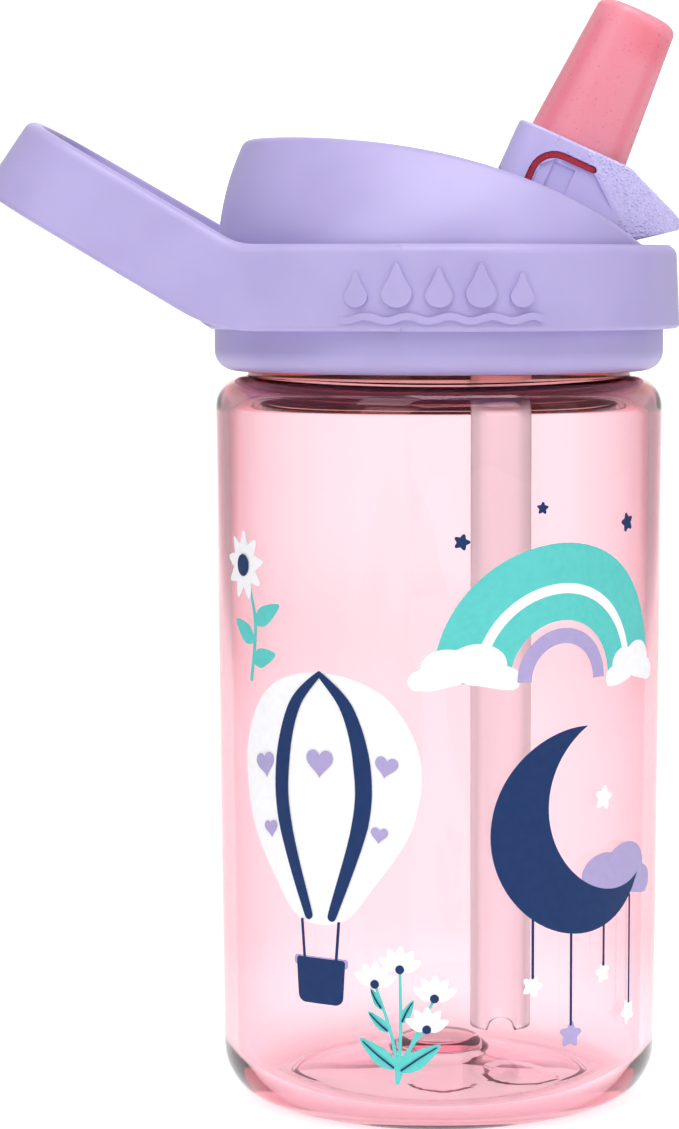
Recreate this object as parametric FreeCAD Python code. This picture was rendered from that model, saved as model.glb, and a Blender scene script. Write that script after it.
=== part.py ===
import FreeCAD, Part
import math
import os

from FreeCAD import Vector

# A children's flip-straw water bottle. Millimetres. The origin is the centre of the ring it stands on,
# +Z is up, +X points to the drinker (the spout side) and -X to the carry loop.

# ---- bottle ----
BASE_R = 35.63           # wall radius, extended down to the table
SHOULDER_R = 36.6        # wall radius at the shoulder
SHOULDER_Z = 118.6
NECK_R = 31.4
NECK_BORE_R = 29.2
RIM_Z = 129.93
WALL = 2.2
FLOOR_Z = 3.0            # inside floor beside the wall
PUNT_Z = 9.0             # top of the raised centre of the floor
PUNT_R = 6.6
FOOT_IN_R = 24.2
MARK_RADII = (5.0, 6.0)  # two round mould marks in the base
MARK_SPOTS = ((0.5, -16.2), (13.4, -10.2))

# ---- thread ----
PITCH = 4.5
THREAD_TURNS = 1.25
THREAD_DEPTH = 1.3
THREAD_ROOT_W = 2.4
THREAD_CREST_W = 1.0
BOTTLE_THREAD_Z = 121.7
LID_THREAD_START_TURN = 0.36
LID_THREAD_SHIFT = -1.95  # the lid's ridge lies this far below the bottle's, 0.3 mm clear of it
LID_BORE_R = 33.1

# ---- lid ----
SKIRT_R = 36.65
SKIRT_Z = 119.5
DISC_LOW_Z = 130.9
DISC_TOP_Z = 133.9
COLLAR_R = 39.3
COLLAR_LOW_Z = 126.3
COLLAR_TOP_Z = 139.7
COLLAR_H = COLLAR_TOP_Z - COLLAR_LOW_Z
COLLAR_BORE_R = 36.7
COLLAR_DRAFT = 0.6
DECK_R = 36.3           # the dome stands in the collar's deck with a fine gap
SHELL_T = 2.2
DOME_TOP_Z = 156.7

# ---- carry loop ----
LOOP_TILT = math.radians(30.3)
LOOP_BEND_X = -28.6       # where the band starts to bend up
LOOP_BEND_R = 15.7        # at the band's mid height
LOOP_T = 3.3
LOOP_CORNER_R = 15.0
LOOP_CORNER = (-59.6, 11.0)
LOOP_END_R = 62.0         # the gentle bow of the far end

# ---- spout ----
PIVOT = Vector(17.5, 0, 144.5)
LEAN = 24.5               # degrees forward of upright, spout open
PIN_R = 2.45
PIN_HOLE_R = 2.5
CHANNEL_W = 22.4
CHANNEL_WALL = 2.1
CHANNEL_BACK_X = -21.8
SOCKET_R = 10.2
SOCKET_TOP = 12.3
LEDGE = 9.8
BARREL_R = 5.6            # narrow, so that it passes the port ring when the spout is folded
DRUM_R = 8.0
VALVE_R = 8.6             # where it sits on the socket's ledge
VALVE_TOP = 36.0
TIP_DEPTH = 6.65          # half the tip's size, fore and aft
TIP_WIDTH = 8.0           # half the tip's size, side to side
VALVE_WALL = 1.9
PORT_R = 2.7
PORT_RING_R = 3.9

# ---- straw ----
STRAW_X = 10.2
STRAW_R = 5.0
STRAW_BORE_R = 3.9
STRAW_LOW_Z = 10.6
SPIGOT_R = 3.88
SPIGOT_LOW_Z = 118.9

# ---- vent ----
VENT_X = -13.0
VENT_HOLES = 4

Z_AXIS = Vector(0, 0, 1)
ORIGIN = Vector(0, 0, 0)


def rounded_wire(corners, place):
    """A closed wire through (a, b, corner radius) corners, each arc tangent to its two sides."""
    count = len(corners)
    ends = []
    for i, (a, b, r) in enumerate(corners):
        p = Vector(a, b, 0)
        back = Vector(*corners[i - 1][:2], 0) - p
        ahead = Vector(*corners[(i + 1) % count][:2], 0) - p
        back.normalize()
        ahead.normalize()
        turn = back.getAngle(ahead)
        if r <= 0 or abs(turn - math.pi) < 1e-6:
            ends.append((p, None, p))
            continue
        reach = r / math.tan(turn / 2)
        bisector = back + ahead
        bisector.normalize()
        middle = p + bisector * (r / math.sin(turn / 2) - r)
        ends.append((p + back * reach, middle, p + ahead * reach))
    edges = []
    for i, (start, middle, end) in enumerate(ends):
        if middle is not None:
            edges.append(Part.Arc(*(place(q.x, q.y) for q in (start, middle, end))).toShape())
        following = ends[(i + 1) % count][0]
        if (following - end).Length > 1e-6:
            edges.append(Part.LineSegment(place(end.x, end.y), place(following.x, following.y)).toShape())
    return Part.Wire(edges)


def in_xz(a, b):
    return Vector(a, 0, b)


def revolved(corners, degrees=360.0):
    return Part.Face(rounded_wire(corners, in_xz)).revolve(ORIGIN, Z_AXIS, degrees)


def across(corners, half_width):
    """A side outline in XZ, extruded to the same distance each side of Y = 0."""
    face = Part.Face(rounded_wire(corners, lambda a, b: Vector(a, -half_width, b)))
    return face.extrude(Vector(0, 2 * half_width, 0))


def cylinder(radius, start, end):
    axis = end - start
    return Part.makeCylinder(radius, axis.Length, start, axis)


def box(low, high):
    return Part.makeBox(high[0] - low[0], high[1] - low[1], high[2] - low[2], Vector(*low))


def on_spout(shape):
    """From the spout's own frame (pivot at the origin, spout along +Z) to its open place in the lid."""
    placed = shape.copy()
    placed.rotate(ORIGIN, Vector(0, 1, 0), LEAN)
    placed.translate(PIVOT)
    return placed


def thread_ridge(root_r, crest_r, z, start_turn):
    """One right-hand helical ridge, its middle at height z where it starts."""
    path = Part.makeHelix(PITCH, PITCH * THREAD_TURNS, root_r)
    root, crest = THREAD_ROOT_W / 2, THREAD_CREST_W / 2
    points = [(root_r, -root), (crest_r, -crest), (crest_r, crest), (root_r, root)]
    section = Part.makePolygon([Vector(r, 0, h) for r, h in points + points[:1]])
    ridge = Part.Wire(path.Edges).makePipeShell([section], True, True)
    ridge.rotate(ORIGIN, Z_AXIS, 360 * start_turn)
    ridge.translate(Vector(0, 0, z))
    return ridge


def bottle_body():
    outline = [
        (0, PUNT_Z - 2.4, 0),
        (PUNT_R - 0.6, PUNT_Z - 2.4, 1.0),
        (PUNT_R + 1.0, PUNT_Z - 4.1, 1.0),
        (FOOT_IN_R - 0.9, 1.3, 0.6),
        (FOOT_IN_R, 0, 0.4),
        (BASE_R, 0, 8.2),
        (SHOULDER_R, SHOULDER_Z, 5.0),
        (NECK_R, SHOULDER_Z, 0.15),
        (NECK_R, RIM_Z, 0.6),
        (NECK_BORE_R, RIM_Z, 0.6),
        (NECK_BORE_R, SHOULDER_Z - WALL, 1.6),
        (SHOULDER_R - WALL, SHOULDER_Z - WALL, 3.6),
        (BASE_R - WALL, FLOOR_Z, 6.4),
        (FOOT_IN_R + 1.2, FLOOR_Z, 2.0),
        (PUNT_R + 1.6, PUNT_Z - 1.7, 1.2),
        (PUNT_R - 0.4, PUNT_Z, 1.2),
        (0, PUNT_Z, 0),
    ]
    body = revolved(outline)
    body = body.fuse(thread_ridge(NECK_R - 0.2, NECK_R + THREAD_DEPTH, BOTTLE_THREAD_Z, 0))
    # the mould marks stand 0.35 mm under the sloping base
    slope_low, slope_high = Vector(FOOT_IN_R - 0.9, 0, 1.3), Vector(PUNT_R + 1.0, 0, PUNT_Z - 4.1)
    skin = revolved([
        (slope_high.x, slope_high.z - 0.35, 0),
        (slope_low.x, slope_low.z - 0.35, 0),
        (slope_low.x, slope_low.z + 0.5, 0),
        (slope_high.x, slope_high.z + 0.5, 0),
    ])
    for radius, (x, y) in zip(MARK_RADII, MARK_SPOTS):
        body = body.fuse(skin.common(Part.makeCylinder(radius, 9, Vector(x, y, 0))))
    return body.removeSplitter()


def lid_liner():
    outline = [
        (LID_BORE_R, SKIRT_Z, 0.7),
        (SKIRT_R, SKIRT_Z, 3.2),
        (SKIRT_R, DISC_TOP_Z, 0.5),
        (0, DISC_TOP_Z, 0),
        (0, DISC_LOW_Z, 0),
        (27.2, DISC_LOW_Z, 0.4),
        (27.2, DISC_LOW_Z - 1.7, 0.3),
        (28.5, DISC_LOW_Z - 1.7, 0.3),
        (28.5, 132.05, 0),
        (32.1, 132.05, 0),
        (32.1, DISC_LOW_Z, 0),
        (LID_BORE_R, DISC_LOW_Z, 0.3),
    ]
    liner = revolved(outline)
    turn = LID_THREAD_START_TURN
    low = BOTTLE_THREAD_Z + LID_THREAD_SHIFT + PITCH * turn
    ridge = thread_ridge(LID_BORE_R + 0.2, LID_BORE_R - THREAD_DEPTH, low, turn)
    liner = liner.fuse(ridge)
    # the port: a ring that the spout's silicone drum wipes, and the leaning passage down to the spigot
    ring = on_spout(cylinder(PORT_RING_R, Vector(0, 0, -12.5), Vector(0, 0, -6)))
    ring = ring.common(box((-5, -6, DISC_LOW_Z + 0.5), (30, 6, 150)))
    drum_space = cylinder(DRUM_R + 0.05, PIVOT - Vector(0, 12, 0), PIVOT + Vector(0, 12, 0))
    spigot = cylinder(SPIGOT_R, Vector(STRAW_X, 0, SPIGOT_LOW_Z), Vector(STRAW_X, 0, DISC_LOW_Z + 0.5))
    liner = liner.fuse([ring.cut(drum_space), spigot])
    bore_down = cylinder(PORT_R, Vector(STRAW_X, 0, SPIGOT_LOW_Z - 1), Vector(STRAW_X, 0, 130.2))
    bore_lean = on_spout(cylinder(PORT_R, Vector(0, 0, -16.6), Vector(0, 0, -6)))
    liner = liner.cut([bore_down, bore_lean])
    # the air vent: one hole for the valve's stem and a ring of small ones round it
    holes = [cylinder(1.3, Vector(VENT_X, 0, 128), Vector(VENT_X, 0, 136))]
    for k in range(VENT_HOLES):
        angle = math.pi / 4 + k * 2 * math.pi / VENT_HOLES
        x, y = VENT_X + 2.9 * math.cos(angle), 2.9 * math.sin(angle)
        holes.append(cylinder(0.6, Vector(x, y, 128), Vector(x, y, 136)))
    return liner.cut(holes).removeSplitter()


def lid_gasket():
    outline = [
        (28.6, 130.35, 0.3),
        (29.4, 129.98, 0.2),
        (31.2, 129.98, 0.2),
        (32.0, 130.35, 0.3),
        (32.0, 132.0, 0.3),
        (28.6, 132.0, 0.3),
    ]
    return revolved(outline)


def vent_valve():
    outline = [
        (0, 130.0, 0),
        (4.4, 130.4, 0.2),
        (4.4, 130.85, 0.15),
        (1.25, 130.85, 0),
        (1.25, 133.95, 0),
        (2.0, 133.95, 0.3),
        (1.4, 135.4, 0.5),
        (0, 135.4, 0),
    ]
    valve = revolved(outline)
    valve.translate(Vector(VENT_X, 0, 0))
    return valve


def straw():
    tube = Part.makeCylinder(STRAW_R, DISC_LOW_Z - 0.05 - STRAW_LOW_Z, Vector(STRAW_X, 0, STRAW_LOW_Z))
    bore = Part.makeCylinder(STRAW_BORE_R, 140, Vector(STRAW_X, 0, 0))
    notch = cylinder(2.2, Vector(STRAW_X, -8, STRAW_LOW_Z), Vector(STRAW_X, 8, STRAW_LOW_Z))
    return tube.cut([bore, notch])


def dome_loft(inset):
    """The dome's outside, or its inside when inset: ellipses that narrow as they rise."""
    rings = [
        (128.0, 36.2, 36.2),
        (134.0, 36.2, 36.2),
        (141.0, 35.95, 35.3),
        (145.6, 35.3, 33.2),
        (150.5, 34.1, 29.8),
        (155.5, 32.2, 25.6),
        (158.5, 30.9, 22.6),
    ]
    wires = []
    for z, a, b in rings:
        wires.append(Part.Wire(Part.Ellipse(Vector(0, 0, z), a - inset, b - inset).toShape()))
    return Part.makeLoft(wires, True, False)


def under_top(drop):
    """Everything below the dome's top line, which runs level and then falls to the front rim."""
    points = [(-40, DOME_TOP_Z - 0.1), (-24, DOME_TOP_Z), (-11.7, DOME_TOP_Z - 0.9), (-1, 154.1)]
    points += [(9.7, 151.2), (20.3, 146.9), (27.4, 143.0), (32.2, 139.8), (40, 134.0), (46, 129.4)]
    curve = Part.BSplineCurve()
    curve.interpolate([Vector(x, -45, z - drop) for x, z in points])
    last, first = curve.EndPoint, curve.StartPoint
    corners = [last, Vector(last.x, -45, 120), Vector(first.x, -45, 120), first]
    edges = [curve.toShape()] + [Part.LineSegment(a, b).toShape() for a, b in zip(corners, corners[1:])]
    return Part.Face(Part.Wire(edges)).extrude(Vector(0, 90, 0))


def lid_dome():
    low = DISC_TOP_Z + 0.02
    solid = dome_loft(0).common(under_top(0)).Solids[0]
    rim = [e for e in solid.Edges if e.BoundBox.YLength > 30 and e.BoundBox.ZMax > COLLAR_TOP_Z + 5]
    solid = solid.makeFillet(1.8, rim).common(box((-60, -60, low), (60, 60, 170)))
    hollow = dome_loft(SHELL_T).common(under_top(SHELL_T))
    half = CHANNEL_W / 2
    # the channel for the folded spout keeps its own walls, which stand on the liner
    walls = box((CHANNEL_BACK_X - CHANNEL_WALL, -half - CHANNEL_WALL, 120), (45, half + CHANNEL_WALL, 170))
    shell = solid.cut(hollow.cut(walls))
    corner = 5.0
    channel = rounded_wire(
        [(CHANNEL_BACK_X, -half, corner), (45, -half, 0), (45, half, 0), (CHANNEL_BACK_X, half, corner)],
        lambda a, b: Vector(a, b, 130),
    )
    flange = revolved([
        (DECK_R - 2.4, low, 0),
        (COLLAR_BORE_R - 0.1, low, 0.3),
        (COLLAR_BORE_R - 0.1, COLLAR_TOP_Z - SHELL_T - 0.05, 0.3),
        (DECK_R - 2.4, COLLAR_TOP_Z - SHELL_T - 0.05, 0),
    ])
    pin_hole = cylinder(PIN_HOLE_R, PIVOT - Vector(0, 15, 0), PIVOT + Vector(0, 15, 0))
    return shell.cut(Part.Face(channel).extrude(Vector(0, 0, 40))).fuse(flange).cut(pin_hole).removeSplitter()


def collar_section(thickness, draft):
    """The band's section: (distance in from the outer face, height above its lower edge, corner radius)."""
    return [
        (0, 0, 0.8),
        (thickness, 0, 0.5),
        (thickness, COLLAR_H, 0.2 * thickness - 0.3),
        (draft, COLLAR_H, 1.7),
    ]


def bent(x, height):
    """(x, z, bend angle) of a point of the flat band once its back part is bent up; height is from mid height."""
    middle = COLLAR_LOW_Z + COLLAR_H / 2
    run = LOOP_BEND_R * LOOP_TILT
    past = LOOP_BEND_X - x
    if past <= 0:
        angle, base_x, base_z = 0.0, x, middle
    else:
        angle = min(past / LOOP_BEND_R, LOOP_TILT)
        base_x = LOOP_BEND_X - LOOP_BEND_R * math.sin(angle)
        base_z = middle + LOOP_BEND_R * (1 - math.cos(angle))
        beyond = max(past - run, 0)
        base_x -= beyond * math.cos(angle)
        base_z += beyond * math.sin(angle)
    return base_x + height * math.sin(angle), base_z + height * math.cos(angle), angle


def loop_pieces():
    """Runs of (x, y, outward x, outward y, share of the end's extra draft) along the flat outline, on +Y."""
    cx, cy = LOOP_CORNER
    leave = math.atan2(cy, cx) - math.acos((COLLAR_R - LOOP_CORNER_R) / math.hypot(cx, cy))
    tip = math.pi - math.asin(cy / (LOOP_END_R - LOOP_CORNER_R))
    out_x, out_y = math.cos(leave), math.sin(leave)
    start = (COLLAR_R * out_x, COLLAR_R * out_y)
    stop = (cx + LOOP_CORNER_R * out_x, cy + LOOP_CORNER_R * out_y)

    def on_arm(x):
        share = (x - start[0]) / (stop[0] - start[0])
        return (x, start[1] + (stop[1] - start[1]) * share, out_x, out_y, 0.0)

    bend_start = LOOP_BEND_X + out_x * LOOP_T / 2
    bend_stop = bend_start - LOOP_BEND_R * LOOP_TILT
    bend = [on_arm(bend_start + (bend_stop - bend_start) * k / 5) for k in range(6)]
    corner = []
    for k in range(7):
        t = k / 6
        angle = leave + (tip - leave) * t
        c, s = math.cos(angle), math.sin(angle)
        corner.append((cx + LOOP_CORNER_R * c, cy + LOOP_CORNER_R * s, c, s, t))
    end = []
    end_x = cx - (LOOP_END_R - LOOP_CORNER_R) * math.cos(tip)
    for k in range(-2, 3):
        angle = math.pi + (math.pi - tip) * k / 2
        c, s = math.cos(angle), math.sin(angle)
        end.append((end_x + LOOP_END_R * c, LOOP_END_R * s, c, s, 1.0))
    arms = [[on_arm(start[0] + 3.0), on_arm(bend_start)], bend, [on_arm(bend_stop), corner[0]], corner]
    return leave, arms, end


def carry_loop(arms, end):
    """The band from one side of the collar round the far end to the other side."""
    runs = [end]
    for run in arms:
        runs.append(run)
        runs.append([(x, -y, nx, -ny, share) for x, y, nx, ny, share in run])
    solids = []
    for run in runs:
        wires = []
        for x, y, nx, ny, share in run:
            def place(w, h, x=x, y=y, nx=nx, ny=ny):
                centre_x, centre_z, angle = bent(x - nx * LOOP_T / 2, 0)
                up = h - COLLAR_H / 2
                inward = (LOOP_T / 2 - w) * nx
                px = centre_x + inward * math.cos(angle) + up * math.sin(angle)
                pz = centre_z - inward * math.sin(angle) + up * math.cos(angle)
                return Vector(px, y - w * ny, pz)

            wires.append(rounded_wire(collar_section(LOOP_T, COLLAR_DRAFT + 0.35 * share), place))
        loft = Part.makeLoft(wires, True, len(run) == 2)
        loft.fix(0.001, 0.001, 0.01)
        solids.append(loft)
    # the first arm on each side is trimmed where it would reach into the liner and the dome
    low = COLLAR_TOP_Z - SHELL_T
    room = Part.makeCylinder(COLLAR_BORE_R, low - 110, Vector(0, 0, 110))
    room = room.fuse(Part.makeCylinder(DECK_R, 30, Vector(0, 0, low - 1)))
    for k in (1, 2):
        solids[k] = solids[k].cut(room).Solids[0]
    return solids[0].fuse(solids[1:], 1e-4)


def lid_collar():
    leave, arms, end = loop_pieces()
    section = [(COLLAR_R - w, COLLAR_LOW_Z + h, r) for w, h, r in collar_section(COLLAR_R - COLLAR_BORE_R, COLLAR_DRAFT)]
    front = revolved(section)
    deck = revolved([
        (COLLAR_BORE_R, COLLAR_TOP_Z - SHELL_T, 0),
        (COLLAR_R - 1.5, COLLAR_TOP_Z - SHELL_T, 0),
        (COLLAR_R - 1.5, COLLAR_TOP_Z, 0),
        (DECK_R, COLLAR_TOP_Z, 0.5),
        (DECK_R, COLLAR_TOP_Z - SHELL_T, 0.3),
    ])
    return front.fuse([deck, carry_loop(arms, end)], 1e-4).removeSplitter()


def superellipse(z, depth, width, power):
    """A closed smooth ring at height z, between an ellipse (power 2) and a rounded box."""
    points = []
    count = 24
    for k in range(count):
        angle = 2 * math.pi * k / count
        c, s = math.cos(angle), math.sin(angle)
        x = depth * math.copysign(abs(c) ** (2 / power), c)
        y = width * math.copysign(abs(s) ** (2 / power), s)
        points.append(Vector(x, y, z))
    curve = Part.BSplineCurve()
    curve.interpolate(points, PeriodicFlag=True)
    return Part.Wire(curve.toShape())


def mouthpiece(inset, low, high):
    """The bite valve's tapering mouthpiece, from a round base to an oval tip."""
    rings = []
    for share in (0, 0.33, 0.66, 1):
        depth = VALVE_R + (TIP_DEPTH - VALVE_R) * share - inset
        width = VALVE_R + (TIP_WIDTH - VALVE_R) * share - inset
        rings.append(superellipse(low + (high - low) * share, depth, width, 2 + 0.35 * share))
    return Part.makeLoft(rings, True, False)


def bite_valve():
    mouth = mouthpiece(0, LEDGE + 0.05, VALVE_TOP)
    tip = [e for e in mouth.Edges if e.BoundBox.ZMin > VALVE_TOP - 0.1]
    mouth = mouth.makeFillet(1.6, tip)
    barrel = cylinder(BARREL_R, Vector(0, 0, 0), Vector(0, 0, LEDGE + 0.5))
    drum = cylinder(DRUM_R, Vector(0, -7.5, 0), Vector(0, 7.5, 0))
    valve = mouth.fuse([barrel, drum])
    cavity = mouthpiece(VALVE_WALL, LEDGE + 1.2, VALVE_TOP - 2.0)
    funnel = Part.makeCone(PORT_R, 4.2, LEDGE - 3.4, Vector(0, 0, 4.9))
    bore = cylinder(PORT_R, Vector(0, 0, -9), Vector(0, 0, 5.5))
    slit = box((-0.15, -4.0, VALVE_TOP - 3), (0.15, 4.0, VALVE_TOP + 1))
    return on_spout(valve.cut([cavity, funnel, bore, slit]))


def slot_solid(path, width, y_low, y_high):
    """A round-ended slot along points (x, z), cut from y_low to y_high."""
    pieces = []
    for i, (x, z) in enumerate(path):
        pieces.append(cylinder(width / 2, Vector(x, y_low, z), Vector(x, y_high, z)))
        if i:
            px, pz = path[i - 1]
            run = Vector(x - px, 0, z - pz)
            side = Vector(-run.z, 0, run.x)
            side.normalize()
            side *= width / 2
            start, end = Vector(px, y_low, pz), Vector(x, y_low, z)
            loop = [start + side, end + side, end - side, start - side, start + side]
            pieces.append(Part.Face(Part.makePolygon(loop)).extrude(Vector(0, y_high - y_low, 0)))
    return pieces[0].fuse(pieces[1:])


def spout_plan(grow):
    """The spout seen along its axis: a rounded block that narrows forward to the thumb tab."""
    half, tab = SOCKET_R + grow, 7.0 + grow
    corners = []
    for side in (-1, 1):
        run = [(-SOCKET_R - 0.2 - grow, side * half, 4.5), (7.0, side * half, 14.0), (20.6 + grow, side * tab, 6.2)]
        corners += run if side < 0 else run[::-1]
    wire = rounded_wire(corners, lambda a, b: Vector(a, b, -20))
    return Part.Face(wire).extrude(Vector(0, 0, 50))


def flip_spout():
    side = across([
        (-11.0, 4.8, 1.0),
        (-11.0, SOCKET_TOP, 0),
        (8.9, SOCKET_TOP, 4.0),
        (20.1, 8.2, 1.0),
        (20.8, 7.0, 0.8),
        (14.2, 1.95, 1.5),
        (8.2, -2.5, 3.0),
        (3.0, -6.3, 3.0),
        (-3.5, -6.3, 3.4),
        (-7.4, 0.5, 2.0),
    ], 12)
    body = spout_plan(0).common(side)
    soft = []
    for edge in body.Edges:
        middle = edge.valueAt((edge.FirstParameter + edge.LastParameter) / 2)
        if middle.x > 7 and edge.BoundBox.ZLength < 12 and abs(middle.z - 12.3) > 0.01:
            soft.append(edge)
    for radius in (1.2, 0.8, 0.5):
        try:
            body = body.makeFillet(radius, soft)
            break
        except Part.OCCError:
            print("flip_spout: no edge radius of", radius)
    socket = cylinder(VALVE_R + 0.05, Vector(0, 0, LEDGE), Vector(0, 0, SOCKET_TOP + 1))
    bore = cylinder(BARREL_R + 0.05, Vector(0, 0, -20), Vector(0, 0, LEDGE + 1))
    drum_space = cylinder(DRUM_R + 0.3, Vector(0, -7.8, 0), Vector(0, 7.8, 0))
    port_space = box((-12, -6.2, -10), (0, 6.2, 8.8))
    body = body.cut([socket, bore, drum_space, port_space])
    # under the thumb tab the moulding is cored out
    core = spout_plan(-1.7).common(across([
        (9.9, 10.6, 0.6), (18.2, 7.4, 0.6), (18.0, 4.0, 0.5), (12.0, -4.0, 0), (9.9, -6.0, 0),
    ], 12))
    body = body.cut(core)
    # each side: a curved slot frees a tongue that carries the hinge pin
    for y_low, y_high in ((-12, -5.0), (5.0, 12)):
        arc = [(-5.4, 1.2), (-5.4, 4.6)]
        for k in range(7):
            angle = math.pi - k * math.radians(15)
            arc.append((-1.6 + 3.8 * math.cos(angle), 5.7 + 3.8 * math.sin(angle)))
        arc += [(3.6, 9.5)]
        body = body.cut(slot_solid(arc, 1.15, y_low, y_high))
    for side_y in (-1, 1):
        faces = sorted((side_y * 9.75, side_y * 12))
        recess = Part.Face(rounded_wire(
            [(-4.8, 2.0, 0), (-4.8, 6.6, 1.2), (-2.4, 8.9, 1.4), (4.2, 8.9, 0.8), (13.6, 1.2, 0.8), (5, -8, 0), (-4.8, -8, 0)],
            lambda a, b: Vector(a, faces[0], b),
        )).extrude(Vector(0, faces[1] - faces[0], 0))
        body = body.cut(recess)
    for side_y in (-1, 1):
        lead = sorted((side_y * 9.4, side_y * 12))
        body = body.cut(box((-2.7, lead[0], 1.8), (1.0, lead[1], 8.2)))
        body = body.fuse(cylinder(PIN_R, Vector(0, side_y * 8.6, 0), Vector(0, side_y * 13.1, 0)))
    return on_spout(body.removeSplitter())


NODES = {
    "bottle_body": bottle_body,
    "lid_collar": lid_collar,
    "lid_dome": lid_dome,
    "lid_liner": lid_liner,
    "lid_gasket": lid_gasket,
    "vent_valve": vent_valve,
    "straw": straw,
    "flip_spout": flip_spout,
    "bite_valve": bite_valve,
}

os.makedirs("parts", exist_ok=True)
for name, make in NODES.items():
    shape = make()
    solids = shape.Solids
    print(name, "valid", shape.isValid(), "solids", len(solids), "cm3", round(shape.Volume / 1000, 3))
    (solids[0] if len(solids) == 1 else Part.makeCompound(solids)).exportStep("parts/%s.step" % name)
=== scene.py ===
import math

import bmesh
import bpy
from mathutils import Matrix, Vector


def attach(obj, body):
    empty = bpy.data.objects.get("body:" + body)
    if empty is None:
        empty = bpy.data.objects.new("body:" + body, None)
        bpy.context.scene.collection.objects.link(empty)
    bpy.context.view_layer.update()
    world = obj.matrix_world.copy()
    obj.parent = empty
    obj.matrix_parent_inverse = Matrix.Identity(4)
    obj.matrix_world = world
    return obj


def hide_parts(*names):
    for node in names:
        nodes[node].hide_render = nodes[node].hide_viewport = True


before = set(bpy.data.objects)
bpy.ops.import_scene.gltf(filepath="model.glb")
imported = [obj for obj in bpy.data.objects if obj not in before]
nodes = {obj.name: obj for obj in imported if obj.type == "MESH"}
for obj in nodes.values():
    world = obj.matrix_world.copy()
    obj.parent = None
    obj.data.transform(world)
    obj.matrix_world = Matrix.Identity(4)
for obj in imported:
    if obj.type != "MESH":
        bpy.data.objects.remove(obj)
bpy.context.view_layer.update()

mm = 0.001


class Flow:  # a socket of a node tree that takes part in sums
    def __init__(self, tree, socket=None):
        self.tree, self.socket = tree, socket

    def node(self, kind, settings=None, values=(), out=0):
        made = self.tree.nodes.new(kind)
        for key, value in (settings or {}).items():
            if key == "stops":
                ramp = made.color_ramp
                while len(ramp.elements) > 1:
                    ramp.elements.remove(ramp.elements[-1])
                for i, (place, colour) in enumerate(value):
                    element = ramp.elements[0] if i == 0 else ramp.elements.new(place)
                    element.position, element.color = place, colour
            else:
                setattr(made, key, value)
        pairs = values.items() if isinstance(values, dict) else enumerate(values)
        for key, value in pairs:
            if isinstance(value, Flow):
                self.tree.links.new(value.socket, made.inputs[key])
            elif value is not None:
                made.inputs[key].default_value = value
        return Flow(self.tree, made.outputs[out])

    def out(self, name):
        return Flow(self.tree, self.socket.node.outputs[name])

    def maths(self, operation, *values):
        return self.node("ShaderNodeMath", {"operation": operation}, values)

    def __add__(self, other):
        return self.maths("ADD", self, other)

    def __radd__(self, other):
        return self.maths("ADD", other, self)

    def __sub__(self, other):
        return self.maths("SUBTRACT", self, other)

    def __rsub__(self, other):
        return self.maths("SUBTRACT", other, self)

    def __mul__(self, other):
        return self.maths("MULTIPLY", self, other)

    def __rmul__(self, other):
        return self.maths("MULTIPLY", other, self)

    def __truediv__(self, other):
        return self.maths("DIVIDE", self, other)

    def clamp(self, low=0.0, high=1.0):
        return self.maths("MINIMUM", self.maths("MAXIMUM", self, low), high)

    def band(self, start, stop):  # 0 below start, 1 above stop, smooth between
        return self.node("ShaderNodeMapRange", {"interpolation_type": "SMOOTHSTEP"}, (self, start, stop, 0.0, 1.0))


def blended(factor, first, second):  # two colours or sockets by a factor
    return factor.node(
        "ShaderNodeMix", {"data_type": "RGBA"}, {0: factor, 6: first, 7: second}, 2
    )


def madeMaterial(name, constants, build=None):
    material = bpy.data.materials.new(name)
    material.use_nodes = True
    tree = material.node_tree
    shader = tree.nodes["Principled BSDF"]
    for key, value in constants.items():
        shader.inputs[key].default_value = value
    if build:
        build(Flow(tree), shader)
    return material


def feed(shader, name, flow):
    shader.id_data.links.new(flow.socket, shader.inputs[name])


def objectPlace(flow):
    return flow.node("ShaderNodeTexCoord", out="Object")


def noiseOn(place, size, detail=2.0):  # noise with features about as large as size, in metres
    return place.node("ShaderNodeTexNoise", None, {"Vector": place, "Scale": 1 / size, "Detail": detail})


def bumpOn(height, strength, distance):
    values = {"Height": height, "Strength": strength, "Distance": distance}
    return height.node("ShaderNodeBump", None, values)


def grainOn(shader, place, size, strength):  # a fine grain in the surface, and its noise for other uses
    noise = noiseOn(place, size, 3.0)
    feed(shader, "Normal", bumpOn(noise, strength, 0.03 * mm))
    return noise


lavenderFinish = {
    "colour": (0.425, 0.372, 0.665, 1), "shade": (0.398, 0.346, 0.630, 1),
    "grain": 0.35 * mm, "grainStrength": 0.25, "cloud": 14 * mm, "roughness": 0.36,
    "body": {"Specular IOR Level": 0.45, "Subsurface Weight": 0.08, "Subsurface Scale": 1.5 * mm},
}


def lavenderNodes(flow, shader):
    look = lavenderFinish
    place = objectPlace(flow)
    cloud = noiseOn(place, look["cloud"])
    feed(shader, "Base Color", blended(cloud.band(0.35, 0.7), look["colour"], look["shade"]))
    grain = grainOn(shader, place, look["grain"], look["grainStrength"])
    feed(shader, "Roughness", look["roughness"] + grain * 0.1)


lavender = madeMaterial("lavenderSatin", lavenderFinish["body"], lavenderNodes)

spoutSeat = {  # the spout's pin and lean, and the slanted line where its thumb tab starts
    "x": 17.5 * mm, "z": 144.5 * mm, "lean": math.radians(24.5),
    "tabWay": (0.634, 0.774), "tabEdge": 9.6 * mm, "tabSoft": 0.8 * mm,
}


def spoutAxes(place):  # distances ahead of the pin and along the spout
    axes = place.node("ShaderNodeSeparateXYZ", None, (place,))
    across, up = axes - spoutSeat["x"], axes.out("Z") - spoutSeat["z"]
    c, s = math.cos(spoutSeat["lean"]), math.sin(spoutSeat["lean"])
    return across * c - up * s, across * s + up * c


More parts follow.
